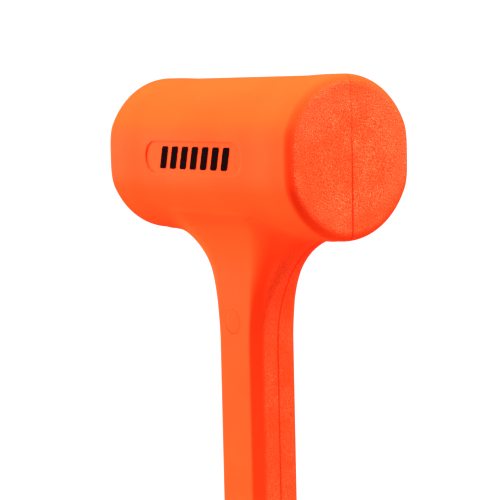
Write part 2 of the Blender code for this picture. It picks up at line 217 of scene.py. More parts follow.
class BodyForm:
    """The outer form of the cast body as a field: negative inside, zero on the surface."""

    def __init__(self, shape):
        for name in shape.bl_rna.properties.keys():
            value = getattr(shape, name)
            if isinstance(value, float):
                setattr(self, name, value / MM)
        self.grip_end = 128.0
        butt = (19.0, 15.6, 5.4)
        waist = (15.6, 13.0, 4.8)
        palm = (17.0, 14.2, 5.2)
        shank = (self.shank_half_x, self.shank_half_y, self.shank_chamfer)
        self.stations = (
            (-5.0, *butt),
            (10.0, *butt),
            (26.0, *waist),
            (68.0, *palm),
            (self.grip_end, *shank),
        )
        reach = self.shank_half_y + self.neck_fillet
        drop = math.sqrt((HEAD_RADIUS + self.neck_fillet) ** 2 - reach**2)
        self.fillet_z = HEAD_Z - drop
        self.touch_z = HEAD_Z - drop * HEAD_RADIUS / (HEAD_RADIUS + self.neck_fillet)
        self.neck_top = HEAD_Z - NECK_TOP * HEAD_RADIUS
        self.soften_below = 22.0
        self.soften_run = 40.0
        self.panel_low = 53.0
        self.panel_high = 117.0

    def handle_sizes(self, z):
        """Half width, half depth and chamfer of the handle at each height."""
        heights = np.array([row[0] for row in self.stations])
        index = np.clip(np.searchsorted(heights, z) - 1, 0, len(heights) - 2)
        span = heights[index + 1] - heights[index]
        t = smooth_step(np.clip((z - heights[index]) / span, 0.0, 1.0))
        sizes = []
        for column in (1, 2, 3):
            values = np.array([row[column] for row in self.stations])
            sizes.append(values[index] + (values[index + 1] - values[index]) * t)
        return sizes

    def handle_section(self, ax, ay, z):
        """Distance from the eight-sided section at this height, with its edges rounded.

        ax and ay are distances from the middle planes. Towards the head the chamfers widen
        and their edges soften away.
        """
        half_x, half_y, chamfer = self.handle_sizes(z)
        start = self.fillet_z - self.soften_below
        fade = smooth_step(ramp(z, start, start + self.soften_run))
        radius = self.edge_radius + (self.neck_edge - self.edge_radius) * fade
        chamfer = chamfer + (self.neck_chamfer - self.shank_chamfer) * fade
        half_x = half_x - radius
        half_y = half_y - radius
        chamfer = chamfer - (2.0 - math.sqrt(2.0)) * radius
        side = ax - half_x
        front = ay - half_y
        slant = (ax + ay - (half_x + half_y - chamfer)) / math.sqrt(2.0)
        inside = np.maximum(np.maximum(side, front), slant)
        below = ay - (half_y - chamfer)
        past = ax - (half_x - chamfer)
        t = np.clip((below - side) / (2.0 * chamfer), 0.0, 1.0)
        to_slant = np.hypot(side + t * chamfer, below - t * chamfer)
        to_side = np.hypot(side, np.maximum(below, 0.0))
        to_front = np.hypot(front, np.maximum(past, 0.0))
        outside = np.minimum(np.minimum(to_side, to_front), to_slant)
        return np.where(inside > 0.0, outside, inside) - radius

    def head(self, x, y, z):
        along = np.abs(x)
        flare_end = HEAD_HALF - FLARE_FULL * self.flare_run
        flare = self.end_flare * smooth_step(ramp(along, HEAD_HALF - self.flare_run, flare_end))
        radius = np.hypot(y, z - HEAD_Z)
        arc = radius - (HEAD_RADIUS + flare)
        flat = np.abs(y) - (HEAD_FLAT + FLAT_FLARE * flare)
        section = smooth_max(arc, flat, self.corner_blend)
        end = along - (HEAD_HALF - self.face_crown * (radius / HEAD_RADIUS) ** 2)
        return round_intersection(section, end, self.rim_radius)

    def handle(self, x, y, z):
        """Butt, grip and shank, with the neck that sweeps from the shank into the head.

        The neck is the shank's section in bent coordinates. Along X they follow a quarter
        ellipse between the shank and the head's underside. Along Y they follow an arc that
        touches the shank and the head's round side.
        """
        radius = self.neck_fillet
        spread = self.neck_spread
        half_x, half_y, _ = self.handle_sizes(z)
        ax = np.abs(x)
        ay = np.abs(y)
        underside = HEAD_Z - np.sqrt(np.maximum(HEAD_RADIUS**2 - y * y, 0.0))
        to_centre_x = np.maximum(spread - ax + half_x, 0.0)
        to_centre_y = np.maximum(radius - ay + half_y, 0.0)
        rise_x = np.maximum(self.neck_drop - underside + z, 0.0) * spread / self.neck_drop
        rise_y = np.clip(z, self.fillet_z, self.touch_z) - self.fillet_z
        bent_x = half_x + spread - np.hypot(to_centre_x, rise_x)
        bent_y = half_y + radius - np.hypot(to_centre_y, rise_y)
        swept = self.handle_section(bent_x, bent_y, z)
        swept = np.maximum(swept, np.maximum(z - self.neck_top, ax - half_x - spread))
        return round_intersection(swept, -z, self.butt_radius)

    def head_and_handle(self, x, y, z):
        return -smooth_max(-self.head(x, y, z), -self.handle(x, y, z), self.neck_blend)

    def recess(self, x, y, z):
        radius = self.recess_height / 2
        straight = self.recess_length / 2 - radius
        middle = np.sign(y) * self.recess_shift
        outline = np.hypot(np.maximum(np.abs(x - middle) - straight, 0.0), z - HEAD_Z) - radius
        floor = (HEAD_FLAT - self.recess_depth) - np.abs(y)
        return np.maximum(outline, floor)

    def seam(self, x, y, z):
        """Depth of the parting line, which wavers a little and fades over the head's top half."""
        top = smooth_step(ramp(z, HEAD_Z, HEAD_Z + SEAM_FADE * HEAD_RADIUS))
        waver = 0.10 * np.sin(0.21 * x + 0.9) * np.sin(0.13 * z + 0.4)
        share = SEAM_LOW + (SEAM_TOP - SEAM_LOW) * top + waver
        return self.seam_depth * share * np.exp(-((y / self.seam_width) ** 2))

    def checkering(self, x, y, z):
        """Depth of the crossed grooves on the front and rear of the grip."""
        middle = (self.panel_low + self.panel_high) / 2
        half_height = (self.panel_high - self.panel_low) / 2
        half_width = 10.0
        corner = 6.0
        groove_half = 0.8
        slope_x, slope_z = 0.86, 0.51
        dx = np.maximum(np.abs(x) - (half_width - corner), 0.0)
        dz = np.maximum(np.abs(z - middle) - (half_height - corner), 0.0)
        inside = ramp(corner - np.hypot(dx, dz), 0.0, 0.5)
        half_y = self.handle_sizes(z)[1]
        on_face = ramp(np.abs(y) - half_y, -1.6, -1.0)
        groove = 0.0
        for turn in (-1.0, 1.0):
            t = (slope_x * x + turn * slope_z * z) / self.check_pitch
            off = np.abs(t - np.round(t)) * self.check_pitch
            groove = np.maximum(groove, 1.0 - off / groove_half)
        return self.check_depth * inside * on_face * np.maximum(groove, 0.0)

    def __call__(self, x, y, z):
        body = self.head_and_handle(x, y, z)
        body = smooth_max(body, -self.recess(x, y, z), RECESS_SOFTNESS)
        return body + self.seam(x, y, z) + self.checkering(x, y, z)

    def planes(self):
        """Grid planes along X, Y and Z, closer together where the form has finer detail."""
        rim = HEAD_HALF - 1.2 * self.rim_radius
        recess_end = self.recess_length / 2
        x_half = graded(
            0.0,
            (17.5, 0.7),
            (recess_end - self.recess_shift - 7.0, 1.1),
            (recess_end + self.recess_shift + 1.0, 0.5),
            (rim, 1.1),
            (HEAD_HALF + 0.8, 0.35),
        )
        y_half = graded(0.0, (0.45, 0.09), (1.2, 0.25), (17.0, 0.75), (28.5, 1.0), (HEAD_FLAT + 1.4, 0.3))
        recess_low = HEAD_Z - self.recess_height / 2
        recess_high = HEAD_Z + self.recess_height / 2
        z_planes = graded(
            -1.0,
            (14.0, 0.7),
            (self.panel_low - 1.0, 1.0),
            (self.panel_high + 1.0, 0.55),
            (self.fillet_z, 2.0),
            (HEAD_Z - HEAD_RADIUS + 3.0, 1.0),
            (recess_low - 1.2, 1.0),
            (recess_low + 1.0, 0.3),
            (recess_high - 1.0, 0.9),
            (recess_high + 1.2, 0.3),
            (HEAD_Z + HEAD_RADIUS + 1.6, 0.95),
        )
        return mirrored(x_half), mirrored(y_half), z_planes


def graded(start, *runs):
    """Positions from start through each (end, spacing) run."""
    positions = [start]
    for end, spacing in runs:
        count = max(1, round((end - positions[-1]) / spacing))
        positions.extend(np.linspace(positions[-1], end, count + 1)[1:])
    return np.array(positions)


def mirrored(half):
    return np.concatenate([-half[:0:-1], half])


def sample_signs(field, xs, ys, zs):
    """True at each grid point inside the form, worked out a few layers at a time."""
    inside = np.empty((len(xs), len(ys), len(zs)), bool)
    layers = 24
    for start in range(0, len(zs), layers):
        part = zs[start : start + layers]
        grid = np.meshgrid(xs, ys, part, indexing="ij")
        inside[:, :, start : start + layers] = field(*grid) < 0.0
    return inside


def settle(points, field, rounds=6):
    """Moves points onto the field's zero surface along its slope."""
    step = 0.02
    for _ in range(rounds):
        value = field(*points.T)
        slope = np.empty_like(points)
        for axis in range(3):
            ahead = points.copy()
            behind = points.copy()
            ahead[:, axis] += step
            behind[:, axis] -= step
            slope[:, axis] = (field(*ahead.T) - field(*behind.T)) / (2 * step)
        scale = np.maximum((slope * slope).sum(1), 0.2)
        move = -(value / scale)[:, None] * slope
        size = np.linalg.norm(move, axis=1, keepdims=True)
        points = points + move * np.minimum(1.0, 0.7 / np.maximum(size, 1e-9))
    return points


def surface_of(field, planes):
    """Points and quads of the field's zero surface: one point in each grid cell it crosses."""
    xs, ys, zs = planes
    inside = sample_signs(field, xs, ys, zs)
    corners = [
        inside[i : inside.shape[0] - 1 + i, j : inside.shape[1] - 1 + j, k : inside.shape[2] - 1 + k]
        for i in (0, 1)
        for j in (0, 1)
        for k in (0, 1)
    ]
    crossed = np.zeros(corners[0].shape, bool)
    for corner in corners[1:]:
        crossed |= corner != corners[0]
    number = np.full(crossed.shape, -1, np.int64)
    cells = np.argwhere(crossed)
    number[crossed] = np.arange(len(cells))
    centres = [(axis[1:] + axis[:-1]) / 2 for axis in (xs, ys, zs)]
    points = np.stack([centres[a][cells[:, a]] for a in range(3)], axis=1)

    quads = []
    for axis in range(3):
        a, b = [(1, 2), (2, 0), (0, 1)][axis]
        low = [slice(None)] * 3
        high = [slice(None)] * 3
        low[axis] = slice(0, -1)
        high[axis] = slice(1, None)
        for side in (a, b):
            low[side] = slice(1, -1)
            high[side] = slice(1, -1)
        first = inside[tuple(low)]
        second = inside[tuple(high)]
        edges = np.argwhere(first != second)
        leaving = first[first != second]
        base = edges.copy()
        base[:, a] += 1
        base[:, b] += 1
        ring = []
        for step_a, step_b in ((1, 1), (0, 1), (0, 0), (1, 0)):
            cell = base.copy()
            cell[:, a] += step_a - 1
            cell[:, b] += step_b - 1
            ring.append(number[cell[:, 0], cell[:, 1], cell[:, 2]])
        ring = np.stack(ring, axis=1)
        ring[~leaving] = ring[~leaving][:, ::-1]
        quads.append(ring)
    return settle(points, field), np.concatenate(quads)


def mesh_from(name, points, faces):
    mesh = bpy.data.meshes.new(name)
    mesh.from_pydata(points.tolist(), [], faces.tolist())
    mesh.validate()
    return mesh


def add_piece(name, mesh, material, body, slot, *replaced):
    """Links a finished mesh, gives it its material and hangs it on its CAD body."""
    obj = bpy.data.objects.new(name, mesh)
    bpy.context.scene.collection.objects.link(obj)
    mesh.materials.clear()
    mesh.materials.append(material)
    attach(obj, body)
    if replaced:
        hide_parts(*replaced)
    return obj


def temporary_object(name, mesh):
    obj = bpy.data.objects.new(name, mesh)
    bpy.context.scene.collection.objects.link(obj)
    return obj


def finished_mesh(name, bm, smooth_below=0.0):
    """Turns a bmesh made in millimetres into a mesh, smooth across edges below so many degrees."""
    bmesh.ops.scale(bm, verts=bm.verts, vec=(MM, MM, MM))
    mesh = bpy.data.meshes.new(name)
    bm.to_mesh(mesh)
    bm.free()
    if smooth_below:
        mesh.shade_smooth()
        mesh.set_sharp_from_angle(angle=math.radians(smooth_below))
    return mesh


def ring_form(points, sides, count, closed):
    """A bmesh of quads between profiles of count points that stand side by side in a ring."""
    bm = bmesh.new()
    verts = [bm.verts.new(p) for p in points]
    for side in range(sides):
        here = side * count
        there = (side + 1) % sides * count
        for i in range(count if closed else count - 1):
            j = (i + 1) % count
            corners = (here + i, here + j, there + j, there + i)
            bm.faces.new([verts[index] for index in corners])
    return bm


def turned_mesh(name, profile, sides, closed=False, ripple=None):
    """A (radius, height) profile turned about Z. ripple(turn, index) moves a point outward."""
    points = []
    for side in range(sides):
        turn = 2 * math.pi * side / sides
        for index, (radius, height) in enumerate(profile):
            out = radius + (ripple(turn, index) if ripple else 0.0)
            points.append((out * math.cos(turn), out * math.sin(turn), height))
    bm = ring_form(points, sides, len(profile), closed)
    bmesh.ops.remove_doubles(bm, verts=bm.verts, dist=1e-5)
    bmesh.ops.dissolve_degenerate(bm, edges=bm.edges, dist=1e-6)
    bmesh.ops.recalc_face_normals(bm, faces=bm.faces)
    return finished_mesh(name, bm, 40.0)


def along_x(mesh, x, side=1):
    """Turns a mesh made about Z to lie about the striking axis, at x millimetres."""
    mesh.transform(Matrix.Rotation(math.radians(90) * side, 4, "Y"))
    mesh.transform(Matrix.Translation((x * MM, 0.0, HEAD_Z * MM)))
    return mesh


def core_space(grow):
    """The hollow that the steel core leaves in the casting: one mesh for the canister, one below."""
    half = CAP_HIGH.x + grow
    tube_radius = TUBE_RADIUS + grow
    canister = turned_mesh(
        "canister_space", [(0, half), (tube_radius, half), (tube_radius, -half), (0, -half)], 96
    )
    along_x(canister, 0.0)
    weld_low, weld_high = (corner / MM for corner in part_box("rod_weld"))
    rod_radius = ROD_RADIUS + grow
    weld_radius = weld_high.x + grow
    top = weld_high.z + 3.0
    shoulder = weld_high.z - 0.45 * (weld_high.z - weld_low.z)
    toe = rod_radius + 0.3 * (weld_radius - rod_radius)
    profile = [
        (0, top),
        (weld_radius, top),
        (weld_radius, shoulder),
        (toe, weld_low.z - grow),
        (rod_radius, weld_low.z - grow),
        (rod_radius, ROD_LOW.z - grow),
        (0, ROD_LOW.z - grow),
    ]
    return canister, turned_mesh("rod_space", profile, 48)


def pin_plugs():
    """(node name, centre height, centre x, side, radius) of each filled pin hole."""
    found = []
    for name in sorted(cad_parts):
        if name.startswith("pin_plug_"):
            low, high = (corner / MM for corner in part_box(name))
            side = 1 if high.y > 0 else -1
            found.append((name, (low.z + high.z) / 2, (low.x + high.x) / 2, side, (high.x - low.x) / 2))
    return found


def plug_mesh(name, radius, crown, start, end):
    """A plug along Z from start to end, with a softened, barely domed outer end."""
    edge = 0.25
    profile = [(0, start), (radius, start), (radius, end - edge)]
    for step in range(1, 5):
        turn = math.radians(90) * step / 4
        profile.append((radius - edge + edge * math.cos(turn), end - edge + edge * math.sin(turn)))
    for share in (0.66, 0.33, 0.0):
        profile.append((radius * share, end + crown * (1 - share * share)))
    return turned_mesh(name, profile, 64)


def cut_with(obj, mesh):
    """Cuts mesh out of obj and keeps the result."""
    cutter = temporary_object("cutter", mesh)
    modifier = obj.modifiers.new("cut", "BOOLEAN")
    modifier.operation = "DIFFERENCE"
    modifier.solver = "EXACT"
    modifier.object = cutter
    graph = bpy.context.evaluated_depsgraph_get()
    result = bpy.data.meshes.new_from_object(obj.evaluated_get(graph))
    obj.modifiers.clear()
    old = obj.data
    obj.data = result
    bpy.data.meshes.remove(old)
    bpy.data.objects.remove(cutter)


def write_marks(mesh, form):
    """Per-point masks: how pebbled the skin is, and how deep in a seam or groove it lies, where the
    urethane paints shade.
    """
    count = len(mesh.vertices)
    flat = np.empty(count * 3, np.float32)
    mesh.vertices.foreach_get("co", flat)
    points = flat.reshape(-1, 3).astype(float) / MM
    x, y, z = points.T
    on_head = z > HEAD_Z - HEAD_RADIUS - 4.0
    radius = np.hypot(y, z - HEAD_Z)
    face = ramp(np.abs(x) - HEAD_HALF, -1.6, -0.4) * ramp(HEAD_RADIUS - radius, 1.2, 3.4)
    _, half_y, chamfer = form.handle_sizes(z)
    edge = ramp(half_y - chamfer - np.abs(y), -0.8, 0.7) * ramp(form.fillet_z - z, -18.0, -2.0)
    grain = np.where(on_head, face, EDGE_GRAIN * edge)
    # Painted shade along the parting line: a band a little wider than its cut, as strong as the cut is
    # deep.
    seam_shade_band = np.exp(-((y / (SEAM_SHADE_WIDTH * form.seam_width)) ** 2))
    seam = form.seam(x, 0.0, z) / form.seam_depth * seam_shade_band
    cut = form.checkering(x, y, z) / form.check_depth
    for name, values in (("grain", grain), ("seam", seam), ("groove", cut)):
        attribute = mesh.attributes.new(name, "FLOAT", "POINT")
        attribute.data.foreach_set("value", values.astype(np.float32))


# Materials.


def new_group(name, inputs, outputs):
    """An empty shader node group with float or vector sockets."""
    tree = bpy.data.node_groups.new(name, "ShaderNodeTree")
    for label, kind, default in inputs:
        socket = tree.interface.new_socket(label, in_out="INPUT", socket_type=kind)
        if default is not None:
            socket.default_value = default
    for label, kind in outputs:
        tree.interface.new_socket(label, in_out="OUTPUT", socket_type=kind)
    source = tree.nodes.new("NodeGroupInput")
    sink = tree.nodes.new("NodeGroupOutput")
    return tree, source, sink


def add_node(tree, kind, **settings):
    node = tree.nodes.new(kind)
    for name, value in settings.items():
        setattr(node, name, value)
    return node


def math_node(tree, operation, first, second, clamp=False):
    """A Math node. Each side is a socket or a number."""
    node = add_node(tree, "ShaderNodeMath", operation=operation, use_clamp=clamp)
    for index, value in enumerate((first, second)):
        if isinstance(value, bpy.types.NodeSocket):
            tree.links.new(value, node.inputs[index])
        else:
            node.inputs[index].default_value = value
    return node.outputs[0]


def mix_colours(tree, factor, first, second):
    node = add_node(tree, "ShaderNodeMix", data_type="RGBA")
    for socket, value in ((node.inputs[0], factor), (node.inputs[6], first), (node.inputs[7], second)):
        if isinstance(value, bpy.types.NodeSocket):
            tree.links.new(value, socket)
        elif isinstance(value, (int, float)):
            socket.default_value = value
        else:
            socket.default_value = (*value, 1.0)
    return node.outputs[2]


def remap(tree, value, low, high, to_low, to_high):
    node = add_node(tree, "ShaderNodeMapRange")
    tree.links.new(value, node.inputs["Value"])
    limits = {"From Min": low, "From Max": high, "To Min": to_low, "To Max": to_high}
    for label, limit in limits.items():
        node.inputs[label].default_value = limit
    return node.outputs["Result"]


def noise(tree, vector, scale, detail=2.0, rough=0.5):
    node = add_node(tree, "ShaderNodeTexNoise")
    tree.links.new(vector, node.inputs["Vector"])
    if isinstance(scale, bpy.types.NodeSocket):
        tree.links.new(scale, node.inputs["Scale"])
    else:
        node.inputs["Scale"].default_value = scale
    node.inputs["Detail"].default_value = detail
    node.inputs["Roughness"].default_value = rough
    return node.outputs["Fac"]


def pebble_group():
    """Sandy mould grain: small rounded lumps over a finer sparkle."""
    name = "pebble_grain"
    if name in bpy.data.node_groups:
        return bpy.data.node_groups[name]
    tree, source, sink = new_group(
        name,
        [("Vector", "NodeSocketVector", None), ("Frequency", "NodeSocketFloat", 1000.0)],
        [("Height", "NodeSocketFloat"), ("Speckle", "NodeSocketFloat")],
    )
    vector = source.outputs["Vector"]
    frequency = source.outputs["Frequency"]
    lumps = add_node(tree, "ShaderNodeTexVoronoi", feature="SMOOTH_F1")
    lumps.inputs["Smoothness"].default_value = 0.6
    tree.links.new(vector, lumps.inputs["Vector"])
    tree.links.new(frequency, lumps.inputs["Scale"])
    fine = noise(tree, vector, math_node(tree, "MULTIPLY", frequency, 1.7), 3.0, 0.6)
    coarse = noise(tree, vector, math_node(tree, "MULTIPLY", frequency, 0.55), 2.0, 0.5)
    lump_height = math_node(tree, "SUBTRACT", 1.0, lumps.outputs["Distance"])
    height = math_node(tree, "ADD", lump_height, math_node(tree, "MULTIPLY", fine, 0.9))
    height = math_node(tree, "ADD", height, math_node(tree, "MULTIPLY", coarse, 0.8))
    tree.links.new(height, sink.inputs["Height"])
    tree.links.new(remap(tree, fine, 0.50, 0.62, 0.0, 1.0), sink.inputs["Speckle"])
    return tree


def mottle_group():
    """Slow, cloudy change across a moulded skin, with a few faint streaks of handling."""
    name = "pour_mottle"
    if name in bpy.data.node_groups:
        return bpy.data.node_groups[name]
    tree, source, sink = new_group(
        name,
        [("Vector", "NodeSocketVector", None), ("Frequency", "NodeSocketFloat", 40.0)],
        [("Cloud", "NodeSocketFloat"), ("Scuff", "NodeSocketFloat")],
    )
    vector = source.outputs["Vector"]
    cloud = noise(tree, vector, source.outputs["Frequency"], 4.0, 0.55)
    stretch = add_node(tree, "ShaderNodeMapping")
    stretch.inputs["Scale"].default_value = (1.0, 1.0, 0.16)
    tree.links.new(vector, stretch.inputs["Vector"])
    streak = noise(tree, stretch.outputs["Vector"], 420.0, 3.0, 0.6)
    tree.links.new(remap(tree, cloud, 0.35, 0.65, 0.0, 1.0), sink.inputs["Cloud"])
    tree.links.new(remap(tree, streak, 0.62, 0.74, 0.0, 1.0), sink.inputs["Scuff"])
    return tree


def place_group(tree, group, vector, frequency):
    node = add_node(tree, "ShaderNodeGroup", node_tree=group)
    tree.links.new(vector, node.inputs["Vector"])
    node.inputs["Frequency"].default_value = frequency
    return node


def new_material(name, base, rough, metallic=0.0):
    material = bpy.data.materials.new(name)
    material.use_nodes = True
    shader = material.node_tree.nodes["Principled BSDF"]
    shader.inputs["Base Color"].default_value = (*base, 1.0)
    shader.inputs["Roughness"].default_value = rough
    shader.inputs["Metallic"].default_value = metallic
    material.diffuse_color = (*base, 1.0)
    return material, material.node_tree, shader


def bump(material, height, distance):
    """Relief from a height socket, so many metres deep, on the material's own shader."""
    tree = material.node_tree
    node = add_node(tree, "ShaderNodeBump")
    node.inputs["Distance"].default_value = distance
    node.inputs["Strength"].default_value = 1.0
    tree.links.new(height, node.inputs["Height"])
    tree.links.new(node.outputs["Normal"], tree.nodes["Principled BSDF"].inputs["Normal"])


def urethane_material(finish):
    """Neon cast urethane: satin skin, pebbled where the mould was, with painted shade in its seams and
    grooves and a painted glow.
    """
    name = "cast_urethane_skin"
    if name in bpy.data.materials:
        return bpy.data.materials[name]
    material, tree, shader = new_material(name, finish.urethane, 0.45)
    place = add_node(tree, "ShaderNodeTexCoord").outputs["Object"]
    grain, seam, groove = (
        add_node(tree, "ShaderNodeAttribute", attribute_name=mask).outputs["Fac"]
        for mask in ("grain", "seam", "groove")
    )
    pebble = place_group(tree, pebble_group(), place, 1.0 / finish.pebble_size)
    mottle = place_group(tree, mottle_group(), place, 38.0)

    deep = tuple(finish.urethane_painted_shade)
    base = tuple(finish.urethane)
    warm = shaded(base, 1.0, 0.86, 0.8)
    pale = (1.0, min(1.0, base[1] * 5.0), min(1.0, base[2] * 12.0))
    tint = mix_colours(tree, math_node(tree, "MULTIPLY", mottle.outputs["Cloud"], 0.6), base, warm)
    patches = remap(tree, noise(tree, place, 70.0, 2.0, 0.5), 0.42, 0.58, 0.45, 0.85)
    sparkle = math_node(tree, "MULTIPLY", pebble.outputs["Speckle"], grain)
    tint = mix_colours(tree, math_node(tree, "MULTIPLY", sparkle, patches), tint, pale)
    # Painted shade: the parting line and the grip's grooves are darkened towards the painted shade
    # colour.
    seam_shade = math_node(tree, "MULTIPLY", seam, 1.15)
    groove_shade = math_node(tree, "MULTIPLY", groove, 0.3)
    hollow = math_node(tree, "MAXIMUM", seam_shade, groove_shade)
    tint = mix_colours(tree, hollow, tint, deep)
    tree.links.new(tint, shader.inputs["Base Color"])

    rough = math_node(tree, "ADD", math_node(tree, "MULTIPLY", grain, 0.12), 0.46)
    rough = math_node(tree, "ADD", rough, math_node(tree, "MULTIPLY", mottle.outputs["Cloud"], 0.05))
    rough = math_node(tree, "SUBTRACT", rough, math_node(tree, "MULTIPLY", mottle.outputs["Scuff"], 0.05))
    tree.links.new(rough, shader.inputs["Roughness"])

    relief = math_node(tree, "ADD", math_node(tree, "MULTIPLY", grain, 0.93), 0.07)
    height = math_node(tree, "MULTIPLY", pebble.outputs["Height"], relief)
    bump(material, height, 0.00026)
    shader.inputs["Specular IOR Level"].default_value = finish.sheen_level
    shader.inputs["Specular Tint"].default_value = (*finish.sheen, 1.0)
    # Painted glow: a constant emission that keeps the urethane bright red in shade.
    shader.inputs["Emission Color"].default_value = (*finish.painted_glow_colour, 1.0)
    shader.inputs["Emission Strength"].default_value = finish.painted_glow
    return material


def ink_material(finish):
    """Matt black printed ink, a little thin over the grain."""
    name = "badge_ink_skin"
    if name in bpy.data.materials:
        return bpy.data.materials[name]
    material, tree, shader = new_material(name, finish.ink, 0.55)
    place = add_node(tree, "ShaderNodeTexCoord").outputs["Object"]
    pebble = place_group(tree, pebble_group(), place, 1400.0)
    ink = tuple(finish.ink)
    thin = tuple(min(1.0, c + k) for c, k in zip(ink, (0.012, 0.002, 0.001)))
    speckle = pebble.outputs["Speckle"]
    tint = mix_colours(tree, math_node(tree, "MULTIPLY", speckle, 0.5), ink, thin)
    tree.links.new(tint, shader.inputs["Base Color"])
    tree.links.new(remap(tree, speckle, 0.0, 1.0, 0.5, 0.62), shader.inputs["Roughness"])
    shader.inputs["Specular IOR Level"].default_value = 0.0
    bump(material, pebble.outputs["Height"], 0.00004)
    return material


def metal_material(name, base, shade, frequency, rough_low, rough_high):
    """Bare metal that drifts towards a second tint and a higher roughness in cloudy patches."""
    material, tree, shader = new_material(name, base, rough_low, 1.0)
    place = add_node(tree, "ShaderNodeTexCoord").outputs["Object"]
    mottle = place_group(tree, mottle_group(), place, frequency)
    cloud = mottle.outputs["Cloud"]
    tree.links.new(mix_colours(tree, cloud, base, shade), shader.inputs["Base Color"])
    rough = remap(tree, cloud, 0.0, 1.0, rough_low, rough_high)
    tree.links.new(rough, shader.inputs["Roughness"])
    return material, place, mottle


def shaded(base, *shares):
    """The colour with each channel multiplied by its share."""
    return tuple(channel * share for channel, share in zip(base, shares))


def drawn_steel_material(finish):
    """Cold drawn steel with faint drawing lines and mill marks."""
    name = "drawn_steel"
    if name in bpy.data.materials:
        return bpy.data.materials[name]
    base = tuple(finish.steel)
    material, _, mottle = metal_material(name, base, shaded(base, 0.8, 0.8, 0.8), 90.0, 0.28, 0.48)
    bump(material, mottle.outputs["Scuff"], 0.00003)
    return material


def weld_material(finish):
    """Weld metal: dull, with heat tint."""
    name = "weld_metal"
    if name in bpy.data.materials:
        return bpy.data.materials[name]
    base = tuple(finish.weld)
    heat = shaded(base, 0.55, 0.6, 0.95)
    material, place, _ = metal_material(name, base, heat, 160.0, 0.4, 0.62)
    pebble = place_group(material.node_tree, pebble_group(), place, 900.0)
    bump(material, pebble.outputs["Height"], 0.00006)
    return material


def shot_material(finish):
    """Polished round shot, dulled in places."""
    base = tuple(finish.shot)
    dull = shaded(base, 0.7, 0.7, 0.7)
    return metal_material("shot_steel_ball", base, dull, 250.0, 0.16, 0.34)[0]


def paint_node(node, material):
    """Gives a carried-over CAD node its finished material."""
    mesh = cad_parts[node].data
    mesh.materials.clear()
    mesh.materials.append(material)
    mesh.shade_smooth()
    mesh.set_sharp_from_angle(angle=math.radians(35))


# Operators, one for each piece or group of like pieces.


class MALLET_OT_cast_body(bpy.types.Operator):
    """Builds the one-piece urethane body, hollow where the steel core lies"""

    bl_idname = "mallet.cast_body"
    bl_label = "Cast body"

    def execute(self, context):
        form = BodyForm(context.scene.mallet_shape)
        points, quads = surface_of(form, form.planes())
        mesh = mesh_from("cast_urethane_body", points * MM, quads)
        obj = temporary_object("cast_urethane_body_form", mesh)
        for space in core_space(GAP):
            cut_with(obj, space)
        start, end = 5.0, 30.0
        for name, height, x, side, radius in pin_plugs():
            radius += form.plug_gap
            hole = turned_mesh(name, [(0, start), (radius, start), (radius, end), (0, end)], 64)
            hole.transform(Matrix.Rotation(math.radians(-90) * side, 4, "X"))
            hole.transform(Matrix.Translation((x * MM, 0.0, height * MM)))
            cut_with(obj, hole)
        mesh = obj.data.copy()
        bpy.data.objects.remove(obj)
        mesh.name = "cast_urethane_body"
        mesh.shade_smooth()
        mesh.set_sharp_from_angle(angle=math.radians(50))
        write_marks(mesh, form)
        material = urethane_material(context.scene.mallet_finish)
        add_piece("cast_urethane_body", mesh, material, "mallet", "cast_urethane", "cast_body")
        return {"FINISHED"}


class MALLET_OT_pin_plugs(bpy.types.Operator):
    """Fills the four holes of the pins that held the core in the mould"""

    bl_idname = "mallet.pin_plugs"
    bl_label = "Pin plugs"

    def execute(self, context):
        form = BodyForm(context.scene.mallet_shape)
        material = urethane_material(context.scene.mallet_finish)
        lean = math.tan(context.scene.mallet_shape.plug_tilt)
        crown, sink, leaning_end = 0.05, 0.03, 1.0
        for name, height, x, side, radius in pin_plugs():
            surface = float(form.handle_sizes(np.array([height]))[1][0])
            mesh = plug_mesh(name + "_fill", radius, crown, ROD_RADIUS + GAP, surface - sink)
            mesh.transform(Matrix.Rotation(math.radians(-90) * side, 4, "X"))
            for vertex in mesh.vertices:
                if abs(vertex.co.y) > (surface - leaning_end) * MM:
                    vertex.co.y -= side * lean * (vertex.co.x - vertex.co.z) / math.sqrt(2.0)
            mesh.transform(Matrix.Translation((x * MM, 0.0, height * MM)))
            add_piece(name + "_fill", mesh, material, "mallet", "cast_urethane", name)
        return {"FINISHED"}


def badge_mesh(name, shape):
    """Slanted bars with softened corners, a print of even thickness."""
    low, high = (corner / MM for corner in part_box("badge_front"))
    bars = shape.badge_bars
    slant = 2.2
    bar_share = 0.62
    corner_radius = 0.45
    width = high.x - low.x
    height = high.z - low.z
    pitch = (width - slant) / (bars - 1 + bar_share)
    thick = shape.badge_thickness / MM
    bm = bmesh.new()
    for index in range(bars):
        left = index * pitch - width / 2
        right = left + bar_share * pitch
        outline = (
            (left, -height / 2),
            (right, -height / 2),
            (right + slant, height / 2),
            (left + slant, height / 2),
        )
        inner = [bm.verts.new((x, 0.0, z)) for x, z in outline]
        outer = [bm.verts.new((x, -thick, z)) for x, z in outline]
        bm.faces.new(inner)
        bm.faces.new(reversed(outer))
        for i in range(4):
            j = (i + 1) % 4
            bm.faces.new((inner[j], inner[i], outer[i], outer[j]))
        upright = [bm.edges.get((a, b)) for a, b in zip(inner, outer)]
        bmesh.ops.bevel(bm, geom=upright, offset=corner_radius, segments=3, affect="EDGES")
    bmesh.ops.recalc_face_normals(bm, faces=bm.faces)
    return finished_mesh(name, bm)


